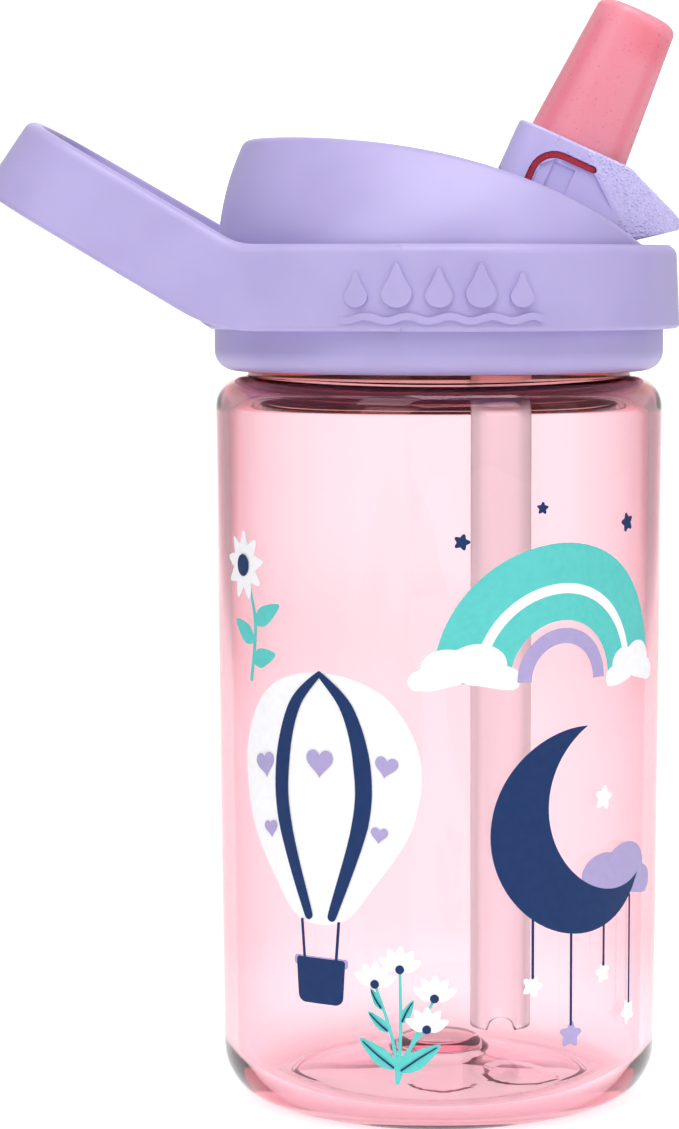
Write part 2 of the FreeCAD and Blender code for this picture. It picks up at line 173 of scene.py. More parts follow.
def tabMask(place):  # 0 on the spout's block, 1 on its thumb tab
    ahead, along = spoutAxes(place)
    past = ahead * spoutSeat["tabWay"][0] + along * spoutSeat["tabWay"][1]
    return past.band(spoutSeat["tabEdge"], spoutSeat["tabEdge"] + spoutSeat["tabSoft"])


stippleFinish = {
    "pit": 0.45 * mm, "depth": 0.1 * mm, "strength": 0.6, "roughness": 0.36, "tabGloss": 0.06,
    # block and tab are lighter copies of the lavender, a painted highlight for the light from above; the tab is
    # lighter still as painted sheen on its stipple, and the hollows between its domes are painted shade
    "block": (0.53, 0.475, 0.79, 1), "tab": (0.66, 0.61, 0.90, 1), "hollow": (0.52, 0.46, 0.78, 1),
}


def stippledNodes(flow, shader):  # only the thumb tab is stippled
    look = stippleFinish
    place = objectPlace(flow)
    cells = flow.node("ShaderNodeTexVoronoi", {"feature": "F1"}, {"Vector": place, "Scale": 1 / look["pit"]})
    tab = tabMask(place)
    height = (1 - cells.clamp()) * tab
    feed(shader, "Normal", bumpOn(height, look["strength"], look["depth"]))
    # painted shade in the hollows between the domes, painted sheen on the tab around them
    pitted = blended(height.clamp(), look["hollow"], look["tab"])
    feed(shader, "Base Color", blended(tab, look["block"], pitted))
    feed(shader, "Roughness", look["roughness"] - tab * look["tabGloss"])


stippledLavender = madeMaterial("lavenderStippled", lavenderFinish["body"], stippledNodes)

clearPinkFinish = {
    "tint": (0.972, 0.56, 0.66, 1), "density": 182.0,  # of the plastic itself, by its thickness
    # rim: painted shade towards the silhouettes of the wall, over the plastic's own pink
    "face": (1.0, 0.975, 0.98, 1), "rim": (0.92, 0.20, 0.27, 1), "rimPower": 3.0,
    # foot: painted light, lifting the base out of the shadow it stands in
    "foot": (1.0, 0.98, 0.985, 1), "footHigh": 7 * mm, "footLow": 1 * mm,
    # neck: painted shade, a brownish red band where the neck is seen under the lid
    "neck": (0.70, 0.33, 0.27, 1), "neckLow": 116.4 * mm, "neckHigh": 117.8 * mm,
    "ripple": 18 * mm, "scuff": 3 * mm, "roughness": 0.015, "scuffed": 0.03,
}


def clearPinkNodes(flow, shader):
    look = clearPinkFinish
    place = objectPlace(flow)
    feed(shader, "Normal", bumpOn(noiseOn(place, look["ripple"], 1.0), 0.04, 0.1 * mm))
    height = flow.node("ShaderNodeSeparateXYZ", None, (place,)).out("Z")
    facing = flow.node("ShaderNodeLayerWeight", None, {"Blend": 0.5}, "Facing")
    deep = facing.maths("POWER", facing, look["rimPower"])  # painted shade: the pink deepens towards the silhouettes, for the longer paths through the plastic and the dark reflections there
    wall = blended(deep, look["face"], look["rim"])
    # painted light: the wall is lightened towards the floor, lifting the base out of its shadow
    wall = blended(height.band(look["footHigh"], look["footLow"]), wall, look["foot"])
    # painted shade: a brownish red band on the neck under the lid
    wall = blended(height.band(look["neckLow"], look["neckHigh"]), wall, look["neck"])
    feed(shader, "Base Color", wall)
    scuffs = noiseOn(place, look["scuff"], 4.0).band(0.55, 0.8)
    feed(shader, "Roughness", look["roughness"] + scuffs * look["scuffed"])
    inside = {"Color": look["tint"], "Density": look["density"]}
    depth = flow.node("ShaderNodeVolumeAbsorption", None, inside)
    flow.tree.links.new(depth.socket, flow.tree.nodes["Material Output"].inputs["Volume"])


clearPink = madeMaterial(
    "clearPink",
    {"Transmission Weight": 1.0, "IOR": 1.5, "Specular Tint": (1.0, 0.60, 0.66, 1)},
    clearPinkNodes,
)

strawFinish = {"haze": 2 * mm, "roughness": 0.26, "hazed": 0.06}


def strawNodes(flow, shader):
    haze = noiseOn(objectPlace(flow), strawFinish["haze"])
    feed(shader, "Roughness", strawFinish["roughness"] + haze * strawFinish["hazed"])


strawClear = madeMaterial(
    "strawClear",
    {"Base Color": (0.99, 0.955, 0.965, 1), "Transmission Weight": 1.0, "IOR": 1.3},
    strawNodes,
)

siliconeFinish = {
    "colour": (1.0, 0.34, 0.42, 1), "shade": (1.0, 0.30, 0.38, 1), "cloud": 6 * mm,
    # cavity: painted shade over the cavity's walls
    "cavity": (0.96, 0.20, 0.28, 1), "cavityShare": 0.5,
    # slit: painted shade, a darker patch on the front of the mouthpiece near its tip
    "slit": (0.90, 0.17, 0.24, 1), "slitShare": 0.55,
    # edge: painted shade along the mouthpiece's front and back edges
    "edge": (0.92, 0.15, 0.22, 1), "edgeShare": 0.6,
    "halfDepth": 9.33 * mm, "taper": 0.0744,  # of the mouthpiece, front to back
    "grain": 0.5 * mm, "grainStrength": 0.15, "roughness": 0.24,
}


def siliconeNodes(flow, shader):
    look = siliconeFinish
    place = objectPlace(flow)
    cloud = noiseOn(place, look["cloud"])
    ahead, along = spoutAxes(place)
    reach = ahead.maths("ABSOLUTE", ahead) / (look["halfDepth"] - along * look["taper"])  # 1 on the front and back
    cavity = reach.band(0.56, 0.70) * reach.band(0.90, 0.76) * along.band(33.5 * mm, 31.5 * mm)
    slit = along.band(27 * mm, 31 * mm) * along.band(34.6 * mm, 33.4 * mm) * ahead.band(-1 * mm, 3 * mm)
    skin = blended(cloud, look["colour"], look["shade"])
    skin = blended(cavity * look["cavityShare"], skin, look["cavity"])  # painted shade: darker stripes where the cavity's walls show through the silicone
    # painted shade: a darker patch on the front of the mouthpiece near its tip
    skin = blended((slit * (0.4 + cloud)).clamp() * look["slitShare"], skin, look["slit"])
    # painted shade: darker towards the front and back edges
    skin = blended(reach.band(0.86, 1.0) * look["edgeShare"], skin, look["edge"])
    feed(shader, "Base Color", skin)
    grain = grainOn(shader, place, look["grain"], look["grainStrength"])
    feed(shader, "Roughness", look["roughness"] + grain * 0.1)


silicone = madeMaterial(
    "pinkSilicone",
    {
        "Transmission Weight": 0.12, "IOR": 1.41, "Subsurface Weight": 0.6,
        "Subsurface Radius": (1.0, 0.45, 0.5), "Subsurface Scale": 4 * mm,
    },
    siliconeNodes,
)

redFinish = {"colour": (0.66, 0.035, 0.07, 1), "shade": (0.56, 0.03, 0.055, 1), "cloud": 2 * mm, "roughness": 0.22}


def redNodes(flow, shader):
    cloud = noiseOn(objectPlace(flow), redFinish["cloud"])
    feed(shader, "Base Color", blended(cloud, redFinish["colour"], redFinish["shade"]))
    feed(shader, "Roughness", redFinish["roughness"] + cloud * 0.1)


redSilicone = madeMaterial("redSilicone", {"Subsurface Weight": 0.3, "Subsurface Scale": 1 * mm}, redNodes)

inkFinish = {"mottle": 1.2 * mm, "roughness": 0.5, "gloss": 0.15}


def inkMaterial(name, colour, worn):
    def inkNodes(flow, shader):
        mottle = noiseOn(objectPlace(flow), inkFinish["mottle"], 4.0)
        feed(shader, "Base Color", blended(mottle.band(0.3, 0.75), colour, worn))
        feed(shader, "Roughness", inkFinish["roughness"] + mottle * 0.12)

    return madeMaterial(name, {"Specular IOR Level": inkFinish["gloss"]}, inkNodes)


inks = {
    "White": inkMaterial("inkWhite", (0.93, 0.92, 0.94, 1), (0.89, 0.88, 0.91, 1)),
    "Teal": inkMaterial("inkTeal", (0.118, 0.59, 0.56, 1), (0.105, 0.55, 0.525, 1)),
    "Navy": inkMaterial("inkNavy", (0.010, 0.033, 0.122, 1), (0.013, 0.038, 0.13, 1)),
    "Lilac": inkMaterial("inkLilac", (0.42, 0.36, 0.62, 1), (0.40, 0.34, 0.60, 1)),
}
inks["Cloud"] = inks["White"]
print("finishes made")


def newObject(name, bm, material):
    mesh = bpy.data.meshes.new(name)
    bm.to_mesh(mesh)
    bm.free()
    for face in mesh.polygons:
        face.use_smooth = True
    mesh.materials.append(material)
    made = bpy.data.objects.new(name, mesh)
    bpy.context.scene.collection.objects.link(made)
    return made


def roundedOutline(corners, step=7.0):  # (r, z, corner radius) to points, each arc tangent to its sides
    points = []
    count = len(corners)
    for i, (a, b, radius) in enumerate(corners):
        here = Vector((a, b))
        if radius <= 0:
            points.append(here)
            continue
        back = (Vector(corners[i - 1][:2]) - here).normalized()
        ahead = (Vector(corners[(i + 1) % count][:2]) - here).normalized()
        turn = back.angle(ahead)
        reach = radius / math.tan(turn / 2)
        centre = here + (back + ahead).normalized() * (radius / math.sin(turn / 2))
        start, stop = here + back * reach - centre, here + ahead * reach - centre
        sweep = start.angle_signed(stop)
        steps = max(3, int(math.degrees(abs(sweep)) / step))
        first = math.atan2(start.y, start.x)
        for k in range(steps + 1):
            angle = first - sweep * k / steps
            points.append(centre + radius * Vector((math.cos(angle), math.sin(angle))))
    return points


def addSockets(tree, result, inputs):
    for name, kind in inputs:
        tree.interface.new_socket(name, in_out="INPUT", socket_type="NodeSocket" + kind)
    tree.interface.new_socket(result, in_out="OUTPUT", socket_type="NodeSocketGeometry")


def endTree(tree, shape, finish):
    real = shape.node("GeometryNodeRealizeInstances", None, (shape,))
    dressed = shape.node("GeometryNodeSetMaterial", None, {"Geometry": real, "Material": finish})
    last = tree.nodes.new("NodeGroupOutput")
    tree.links.new(dressed.socket, last.inputs[0])
    return tree


def latheTree():  # turns a row of points round Z, with a screw ridge on the points marked for it
    tree = bpy.data.node_groups.new("latheWithThread", "GeometryNodeTree")
    addSockets(tree, "Turned", (
        ("Outline", "Geometry"), ("Segments", "Int"), ("Thread Depth", "Float"), ("Thread Pitch", "Float"),
        ("Thread Turns", "Float"), ("Thread Start", "Float"), ("Thread Root", "Float"), ("Thread Crest", "Float"),
        ("Finish", "Material"),
    ))
    flow = Flow(tree)
    given = flow.node("NodeGroupInput")
    outline, segments = given.out("Outline"), given.out("Segments")
    count = flow.node("GeometryNodeAttributeDomainSize", {"component": "MESH"}, (outline,), "Point Count")
    grid = flow.node("GeometryNodeMeshGrid", None, (1.0, 1.0, count, segments + 1))
    index = flow.node("GeometryNodeInputIndex")
    ring = index.maths("FLOOR", (index + 0.001) / (segments + 1))
    spoke = index - ring * (segments + 1)
    angle = spoke * (2 * math.pi) / segments
    point = flow.node("GeometryNodeInputPosition")
    mark = flow.node("GeometryNodeInputNamedAttribute", {"data_type": "FLOAT"}, ("ridge",))
    row, marked = (
        flow.node(
            "GeometryNodeSampleIndex",
            {"data_type": kind, "domain": "POINT"},
            {"Geometry": outline, "Value": value, "Index": ring},
        )
        for kind, value in (("FLOAT_VECTOR", point), ("FLOAT", mark))
    )
    axes = row.node("ShaderNodeSeparateXYZ", None, (row,))
    height = axes.out("Z")
    pitch = given.out("Thread Pitch")
    climb = (height - given.out("Thread Start")) / pitch - angle / (2 * math.pi)
    lap = climb.maths("MAXIMUM", climb.maths("ROUND", climb), 0.0)
    off = climb.maths("ABSOLUTE", climb - lap) * pitch
    done = lap + angle / (2 * math.pi)
    root, crest = given.out("Thread Root"), given.out("Thread Crest")
    flank = ((root - off) / (root - crest)).clamp()
    ends = (done * 12).clamp() * ((given.out("Thread Turns") - done) * 12).clamp()  # fades in a twelfth of a turn
    radius = axes.out("X") + flank * ends * given.out("Thread Depth") * marked
    place = flow.node(
        "ShaderNodeCombineXYZ",
        None,
        (radius * radius.maths("COSINE", angle), radius * radius.maths("SINE", angle), height),
    )
    moved = flow.node("GeometryNodeSetPosition", None, {"Geometry": grid, "Position": place})
    joined = flow.node("GeometryNodeMergeByDistance", None, {"Geometry": moved, "Distance": 0.01 * mm})
    return endTree(tree, joined, given.out("Finish"))


lathe = latheTree()
noThread = {"depth": 0, "pitch": 1, "turns": 0, "start": 0, "foot": 1.2, "crest": 0.5}


def turned(name, outline, material, segments, thread=None):
    # outline in mm, closed through its first point unless it starts and ends on the axis
    points = list(outline)
    if points[0][0] > 1e-6 or points[-1][0] > 1e-6:
        points.append(points[0])
    mesh = bpy.data.meshes.new(name + "Outline")
    mesh.from_pydata([(p[0] * mm, 0, p[1] * mm) for p in points], [], [])
    ridge = mesh.attributes.new("ridge", "FLOAT", "POINT")
    if thread:
        for i, p in enumerate(points):
            near = abs(p[0] - thread["root"]) < 0.02 and thread["low"] < p[1] < thread["high"]
            ridge.data[i].value = 1.0 if near else 0.0
    rough = bpy.data.objects.new(name + "Outline", mesh)
    bpy.context.scene.collection.objects.link(rough)
    modifier = rough.modifiers.new("lathe", "NODES")
    modifier.node_group = lathe
    thread = thread or noThread
    setInputs(modifier, {
        "Segments": segments, "Finish": material,
        "Thread Depth": thread["depth"] * mm, "Thread Pitch": thread["pitch"] * mm,
        "Thread Turns": thread["turns"], "Thread Start": thread["start"] * mm,
        "Thread Root": thread["foot"] * mm, "Thread Crest": thread["crest"] * mm,
    })
    return plainMesh(name, rough, material)


def setInputs(modifier, values):  # by the socket's identifier, before the object is first evaluated
    for item in modifier.node_group.interface.items_tree:
        if item.in_out == "INPUT" and item.name in values:
            value = values[item.name]
            modifier[item.identifier] = float(value) if item.socket_type == "NodeSocketFloat" else value


def plainMesh(name, source, material):  # a modifier's result as a mesh of its own
    graph = bpy.context.evaluated_depsgraph_get()
    graph.update()
    mesh = bpy.data.meshes.new_from_object(source.evaluated_get(graph), depsgraph=graph)
    old = source.data
    bpy.data.objects.remove(source)
    bpy.data.meshes.remove(old)
    bm = bmesh.new()
    bm.from_mesh(mesh)
    bpy.data.meshes.remove(mesh)
    bmesh.ops.dissolve_degenerate(bm, dist=1e-6, edges=bm.edges)
    bmesh.ops.recalc_face_normals(bm, faces=bm.faces)
    return newObject(name, bm, material)


# the bottle, all sizes in mm
bottle = {
    "baseR": 35.63, "shoulderR": 36.6, "shoulderZ": 118.6, "neckR": 31.4, "boreR": 29.2, "rimZ": 129.93,
    "wall": 2.2, "floorZ": 3.0, "puntZ": 9.0, "puntR": 6.6, "puntWall": 2.4, "puntLip": 4.1,
    "footR": 24.2, "footIn": 0.9, "footRise": 1.3,
    "marks": ((5.0, 0.5, -16.2), (6.0, 13.4, -10.2)), "markDepth": 0.35,  # radius, x, y
}


def wallRadius(z):  # outside of the wall at a height, both in mm
    return bottle["baseR"] + (bottle["shoulderR"] - bottle["baseR"]) * z / bottle["shoulderZ"]


def slopeZ(r):  # underside of the sloping base
    b = bottle
    edge = b["footR"] - b["footIn"]
    share = (edge - r) / (edge - b["puntR"] - 1.0)
    return b["footRise"] + (b["puntZ"] - b["puntLip"] - b["footRise"]) * share


def bottleOutline():
    b = bottle
    slope = [(9.0 + 0.45 * k, slopeZ(9.0 + 0.45 * k), 0) for k in range(30)]
    neck = [(b["neckR"], b["shoulderZ"] + 0.6 + k * 0.35, 0) for k in range(30)]
    corners = [
        (0, b["puntZ"] - b["puntWall"], 0),
        (b["puntR"] - 0.6, b["puntZ"] - b["puntWall"], 1.0),
        (b["puntR"] + 1.0, b["puntZ"] - b["puntLip"], 0.6),
        *slope,
        (b["footR"] - b["footIn"], b["footRise"], 0.6),
        (b["footR"], 0, 0.4),
        (b["baseR"], 0, 8.2),
        (b["shoulderR"], b["shoulderZ"], 5.0),
        (b["neckR"], b["shoulderZ"], 0.15),
        *neck,
        (b["neckR"], b["rimZ"], 0.6),
        (b["boreR"], b["rimZ"], 0.6),
        (b["boreR"], b["shoulderZ"] - b["wall"], 1.6),
        (b["shoulderR"] - b["wall"], b["shoulderZ"] - b["wall"], 3.6),
        (b["baseR"] - b["wall"], b["floorZ"], 6.4),
        (b["footR"] + 1.2, b["floorZ"], 2.0),
        (b["puntR"] + 1.6, b["puntZ"] - 1.7, 1.2),
        (b["puntR"] - 0.4, b["puntZ"], 1.2),
        (0, b["puntZ"], 0),
    ]
    return roundedOutline(corners)


thread = {
    "root": 31.4, "low": 120.3, "high": 128.9, "depth": 1.3, "pitch": 4.5, "turns": 1.25, "start": 121.7,
    "foot": 1.2, "crest": 0.5,
}
bottleWall = turned("bottleWall", bottleOutline(), clearPink, 192, thread)
for radius, markX, markY in bottle["marks"]:  # round mould marks under the base
    for vertex in bottleWall.data.vertices:
        x, y, z = vertex.co / mm
        if math.hypot(x - markX, y - markY) < radius and abs(z - slopeZ(math.hypot(x, y))) < 0.1:
            vertex.co.z -= bottle["markDepth"] * mm
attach(bottleWall, "bottle")
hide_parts("bottle_body")
print("bottle turned", len(bottleWall.data.polygons), "faces")

tube = {"x": 10.2, "outR": 5.0, "boreR": 3.9, "lowZ": 10.6, "highZ": 130.85, "notchR": 2.2}


def strawPiece():
    t = tube
    corners = [
        (t["outR"], t["lowZ"], 0.3), (t["outR"], t["highZ"], 0.3),
        (t["boreR"], t["highZ"], 0.3), (t["boreR"], t["lowZ"], 0.3),
    ]
    made = turned("drinkingStraw", roundedOutline(corners, 20), strawClear, 64)
    for vertex in made.data.vertices:  # two round notches let the drink in at the bottom
        x = vertex.co.x / mm
        if vertex.co.z < (t["lowZ"] + 1) * mm and abs(x) < t["notchR"]:
            vertex.co.z += math.sqrt(t["notchR"] ** 2 - x * x) * mm
        vertex.co.x += t["x"] * mm
    return made


drinkingStraw = strawPiece()
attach(drinkingStraw, "lid")
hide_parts("straw")
print("straw turned", len(drinkingStraw.data.polygons), "faces")


# flat shapes for the print and the relief, in mm
def between(p0, p1, p2, p3, t):  # on the smooth curve from p1 to p2
    bend = (2 * p0 - 5 * p1 + 4 * p2 - p3) * t * t + (3 * p1 - p0 - 3 * p2 + p3) * t ** 3
    return 0.5 * (2 * p1 + (p2 - p0) * t + bend)


def smoothLoop(points, steps=8):
    found = []
    count = len(points)
    for i in range(count):
        around = [Vector(points[(i + k - 1) % count]) for k in range(4)]
        found += [between(*around, s / steps) for s in range(steps)]
    return found


def placed(points, x, z, turn=0.0, size=1.0):
    c, s = math.cos(math.radians(turn)), math.sin(math.radians(turn))
    return [Vector((x + size * (p[0] * c - p[1] * s), z + size * (p[0] * s + p[1] * c))) for p in points]


def oval(rx, rz, count=48):
    angles = [2 * math.pi * k / count for k in range(count)]
    return [Vector((rx * math.cos(a), rz * math.sin(a))) for a in angles]


def starShape(points=5, inner=0.48, soft=0.16):
    corners = []
    for k in range(points * 2):
        radius = 1.0 if k % 2 == 0 else inner
        angle = math.pi / 2 + math.pi * k / points
        corners.append((radius * math.cos(angle), radius * math.sin(angle), soft if k % 2 == 0 else 0.04))
    return roundedOutline(corners, 30)


def heartShape():
    found = []
    for k in range(60):
        t = 2 * math.pi * k / 60
        x = 16 * math.sin(t) ** 3
        z = 13 * math.cos(t) - 5 * math.cos(2 * t) - 2 * math.cos(3 * t) - math.cos(4 * t)
        found.append(Vector((x / 17, z / 17)))
    return found[::-1]


def leafShape(length, width):
    return smoothLoop([(0, 0), (length * 0.3, width * 0.5), (length * 0.7, width * 0.36), (length, 0),
                       (length * 0.7, -width * 0.36), (length * 0.3, -width * 0.5)], 6)


def ribbon(points, widths, steps=8):  # a brush stroke along points, with a width at each
    path, sizes = [], []
    count = len(points)
    for i in range(count - 1):
        p0 = Vector(points[max(i - 1, 0)])
        p1, p2 = Vector(points[i]), Vector(points[i + 1])
        p3 = Vector(points[min(i + 2, count - 1)])
        for s in range(steps):
            path.append(between(p0, p1, p2, p3, s / steps))
            sizes.append(widths[i] + (widths[i + 1] - widths[i]) * s / steps)
    path.append(Vector(points[-1]))
    sizes.append(widths[-1])
    left, right = [], []
    for i, p in enumerate(path):
        way = (path[min(i + 1, len(path) - 1)] - path[max(i - 1, 0)]).normalized()
        side = Vector((-way.y, way.x)) * sizes[i] / 2
        left.append(p + side)
        right.append(p - side)
    first = (path[0] - path[1]).normalized()
    last = (path[-1] - path[-2]).normalized()
    return left + roundEnd(path[-1], last, sizes[-1]) + right[::-1] + roundEnd(path[0], first, sizes[0])


def roundEnd(tip, way, width):
    side = Vector((-way.y, way.x))
    angles = [math.pi * k / 6 for k in range(1, 6)]
    return [tip + (side * math.cos(a) + way * math.sin(a)) * width / 2 for a in angles]


def arch(inner, outer, count=48):
    ways = [Vector((math.cos(math.pi * k / count), math.sin(math.pi * k / count))) for k in range(count + 1)]
    return [way * outer for way in ways] + [way * inner for way in ways[::-1]]


def cloudShape(width, height):  # a flat-footed cloud of four puffs
    puffs = [(-0.36, 0.0, 0.16), (-0.16, 0.2, 0.24), (0.12, 0.24, 0.27), (0.36, 0.02, 0.17)]
    found = []
    for k in range(96):
        a = 2 * math.pi * k / 96
        way = Vector((math.cos(a), math.sin(a)))
        best = 0.0
        for x, z, r in puffs:
            c = Vector((x, z * 0.9))
            along = c.dot(way)
            gap = c.length_squared - along * along
            if gap < r * r:
                best = max(best, along + math.sqrt(r * r - gap))
        p = way * best
        found.append(Vector((p.x * width, max(p.y, -0.12) * height)))
    return found


def wrapped(name, shapes, radiusAt, material, lift, thick, step, layer):
    # lays flat shapes round the bottle, each a hair (layer) further out than the last, and gives them a thickness
    bm = bmesh.new()
    for number, shape in enumerate(shapes):
        area = sum(p.cross(q) for p, q in zip(shape, shape[1:] + shape[:1]))
        outline = shape if area > 0 else shape[::-1]
        flat = bmesh.new()
        verts = [flat.verts.new((p.x, 0, p.y)) for p in outline]
        flat.faces.new(verts).normal_update()
        bmesh.ops.triangulate(flat, faces=flat.faces, ngon_method="EAR_CLIP")
        low, high = min(p.x for p in outline), max(p.x for p in outline)
        cut = math.ceil(low / step)
        while cut * step < high:
            geom = flat.verts[:] + flat.edges[:] + flat.faces[:]
            bmesh.ops.bisect_plane(flat, geom=geom, plane_co=(cut * step, 0, 0), plane_no=(1, 0, 0), dist=1e-5)
            cut += 1
        bmesh.ops.remove_doubles(flat, verts=flat.verts, dist=1e-4)
        inner, outer = {}, {}
        for v in flat.verts:
            z = v.co.z
            base = radiusAt(z) + lift + number * layer
            angle = v.co.x / radiusAt(z)
            for ring, r in ((inner, base), (outer, base + thick)):
                ring[v] = bm.verts.new((r * math.sin(angle) * mm, -r * math.cos(angle) * mm, z * mm))
        for f in flat.faces:
            vs = list(f.verts)
            if f.normal.y > 0:
                vs.reverse()
            bm.faces.new([outer[v] for v in vs])
            bm.faces.new([inner[v] for v in reversed(vs)])
        for e in flat.edges:
            if len(e.link_faces) == 1:
                a, b = e.verts
                bm.faces.new([outer[a], outer[b], inner[b], inner[a]])
        flat.free()
    bmesh.ops.recalc_face_normals(bm, faces=bm.faces)
    made = newObject(name, bm, material)
    made.data.set_sharp_from_angle(angle=math.radians(40))
    return made


art = {"White": [], "Teal": [], "Navy": [], "Lilac": [], "Cloud": []}


def rainbowArt(x, z):
    art["Teal"].append(placed(arch(15.2, 21.5), x, z))
    art["White"].append(placed(arch(13.6, 15.2), x, z))
    art["Teal"].append(placed(arch(9.4, 13.6), x, z))
    art["Lilac"].append(placed(arch(5.8, 8.2), x, z))
    art["Cloud"].append(placed(cloudShape(17, 12), x - 16.5, z + 0.4))
    art["Cloud"].append(placed(cloudShape(14, 11), x + 16.0, z - 0.4))
    for dx, dz, size in ((-17, 22, 1.7), (-4, 27, 1.3), (14, 24, 2.0)):
        art["Navy"].append(placed(starShape(), x + dx, z + dz, dx, size))


def balloonArt(x, z, size):
    s = size
    envelope = smoothLoop([(0, 17), (9.5, 14.2), (14.6, 6), (13.6, -4), (8.2, -12.4), (3.4, -17.6),
                           (-3.4, -17.6), (-8.2, -12.4), (-13.6, -4), (-14.6, 6), (-9.5, 14.2)], 8)
    art["White"].append(placed(envelope, x, z, 0, s))
    for side in (-1, 1):
        ropes = [(x + side * 3.0 * s, z - 17.8 * s), (x + side * 2.6 * s, z - 23 * s)]
        gore = [(0, 16.9), (side * 4.3, 12.2), (side * 6.5, 4.5), (side * 6.2, -4), (side * 1.9, -17.0)]
        art["Navy"].append(placed(ribbon(gore, [0.7, 1.9, 2.5, 2.4, 1.3]), x, z, 0, s))
        art["Navy"].append(ribbon(ropes, [0.5, 0.5]))
    basket = roundedOutline([(-3.6, -29.4, 1.2), (3.6, -29.4, 1.2), (4.0, -23, 0.5), (-4.0, -23, 0.5)])
    art["Navy"].append(placed(basket, x, z, 0, s))
    brim = roundedOutline([(-4.4, -24.2, 0.5), (4.4, -24.2, 0.5), (4.4, -22.8, 0.5), (-4.4, -22.8, 0.5)])
    art["Lilac"].append(placed(brim, x, z, 0, s))
    for dx, dz, r, turn in (
        (-10.2, 3.5, 2.3, 12), (10.0, 4.5, 2.0, -10), (-9.0, -5.5, 1.6, 10), (0, 4.6, 2.6, 0), (9.0, -5.0, 1.5, -6),
    ):
        art["Lilac"].append(placed(heartShape(), x + dx * s, z + dz * s, turn, r))


def crescentShape(outer, inner, shift):  # a disc with a smaller one, moved by shift, cut out of it
    meetX = (outer ** 2 + shift ** 2 - inner ** 2) / (2 * shift)
    meetZ = math.sqrt(outer ** 2 - meetX ** 2)
    wide, tight = math.atan2(meetZ, meetX), math.atan2(meetZ, meetX - shift)
    found = []
    for k in range(61):
        a = wide + (2 * math.pi - 2 * wide) * k / 60
        found.append(Vector((outer * math.cos(a), outer * math.sin(a))))
    for k in range(1, 50):
        a = 2 * math.pi - tight + (2 * tight - 2 * math.pi) * k / 50
        found.append(Vector((shift + inner * math.cos(a), inner * math.sin(a))))
    return found


def moonArt(x, z):
    art["Navy"].append(placed(crescentShape(16.5, 14.2, 8.4), x, z, 28))
    art["Lilac"].append(placed(cloudShape(21, 15), x + 8.0, z - 10.5))
    art["White"].append(placed(starShape(), x - 11.0, z - 2.5, 8, 3.0))
    art["White"].append(placed(starShape(), x + 4.5, z + 4.6, -10, 2.6))
    for dx, top, drop, size, ink in (
        (-9.5, -13.0, 24, 2.3, "White"), (-2.5, -15.8, 32.5, 2.8, "Lilac"),
        (4.5, -12.0, 23.5, 2.2, "White"), (11.5, -12.0, 31, 2.7, "White"),
    ):
        art["Navy"].append(ribbon([(x + dx, z + top), (x + dx, z - drop + size * 0.6)], [0.45, 0.45]))
        art[ink].append(placed(starShape(), x + dx, z - drop, dx * 2, size))


def daisyArt(x, z, size):
    stem = [(x + 1.2 * size, z - 2), (x + 3.4 * size, z - 9 * size), (x + 2.2 * size, z - 18 * size)]
    art["Teal"].append(ribbon(stem, [0.6, 0.7, 0.8]))
    for dx, dz, turn, length in ((3.2, -9, 28, 7.0), (3.0, -12, 152, 6.6), (2.6, -15, 14, 6.0)):
        art["Teal"].append(placed(leafShape(length * size, 3.0 * size), x + dx * size, z + dz * size, turn))
    for k in range(9):
        art["White"].append(placed(leafShape(5.6 * size, 2.7 * size), x, z, 40 * k + 9))
    art["Navy"].append(placed(oval(1.75 * size, 1.75 * size), x, z))
    art["Lilac"].append(placed(oval(0.8 * size, 0.8 * size, 24), x + 0.2, z + 0.2))


def sprigArt(x, z, size):
    stems = [[(0, 0), (-0.8, 7), (-3.6, 15.5)], [(0, 0), (0.5, 8), (0.4, 18.0)],
             [(0, 0), (2.2, 6), (5.8, 13.5)], [(0.3, 3.0), (3.0, 7.0), (4.6, 8.6)]]
    for path in stems:
        tipX, tipZ = path[-1]
        art["Teal"].append(ribbon([(x + px * size, z + pz * size) for px, pz in path], [0.65, 0.55, 0.42]))
        for k in range(5):
            petal = leafShape(3.7 * size, 1.9 * size)
            art["White"].append(placed(petal, x + tipX * size, z + tipZ * size, 22 + k * 33))
        art["Navy"].append(placed(oval(0.7 * size, 0.7 * size, 20), x + tipX * size, z + tipZ * size))
    for dx, dz, turn, length in ((-0.3, 2.2, 142, 7.4), (0.3, 1.8, 34, 7.8), (-1.3, 8.0, 138, 4.6),
                                 (0.6, 9.5, 62, 4.2), (-2.4, 11.5, 120, 3.8)):
        leafX, leafZ = x + dx * size, z + dz * size
        art["Teal"].append(placed(leafShape(length * size, 0.36 * length * size), leafX, leafZ, turn))
        rib = ribbon([(0.4, 0), (length * 0.5, 0.1), (length * 0.9, 0)], [0.3, 0.26, 0.16])
        art["Navy"].append(placed(rib, leafX, leafZ, turn, size))


# each picture's place: round the wall from the front, then up
rainbowArt(20.5, 72.0)
balloonArt(-19.5, 54.0, 1.13)
moonArt(24.5, 48.0)
daisyArt(-37.0, 89.0, 1.0)
sprigArt(-6.5, 9.2, 1.0)

printing = {
    "lifts": {"White": 0.03, "Teal": 0.045, "Cloud": 0.12, "Lilac": 0.18, "Navy": 0.195},
    "thick": 0.06, "step": 1.2, "layer": 0.004,
}
for ink, shapes in art.items():
    piece = wrapped(
        "print" + ink, shapes, wallRadius, inks[ink],
        printing["lifts"][ink], printing["thick"], printing["step"], printing["layer"],
    )
    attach(piece, "bottle")
print("print laid on the wall")


collar = {"lowR": 39.3, "taper": 0.6, "lowZ": 126.3, "tall": 13.4}


def collarRadius(z):  # outside of the band at a height, both in mm
    return collar["lowR"] - collar["taper"] * (z - collar["lowZ"]) / collar["tall"]


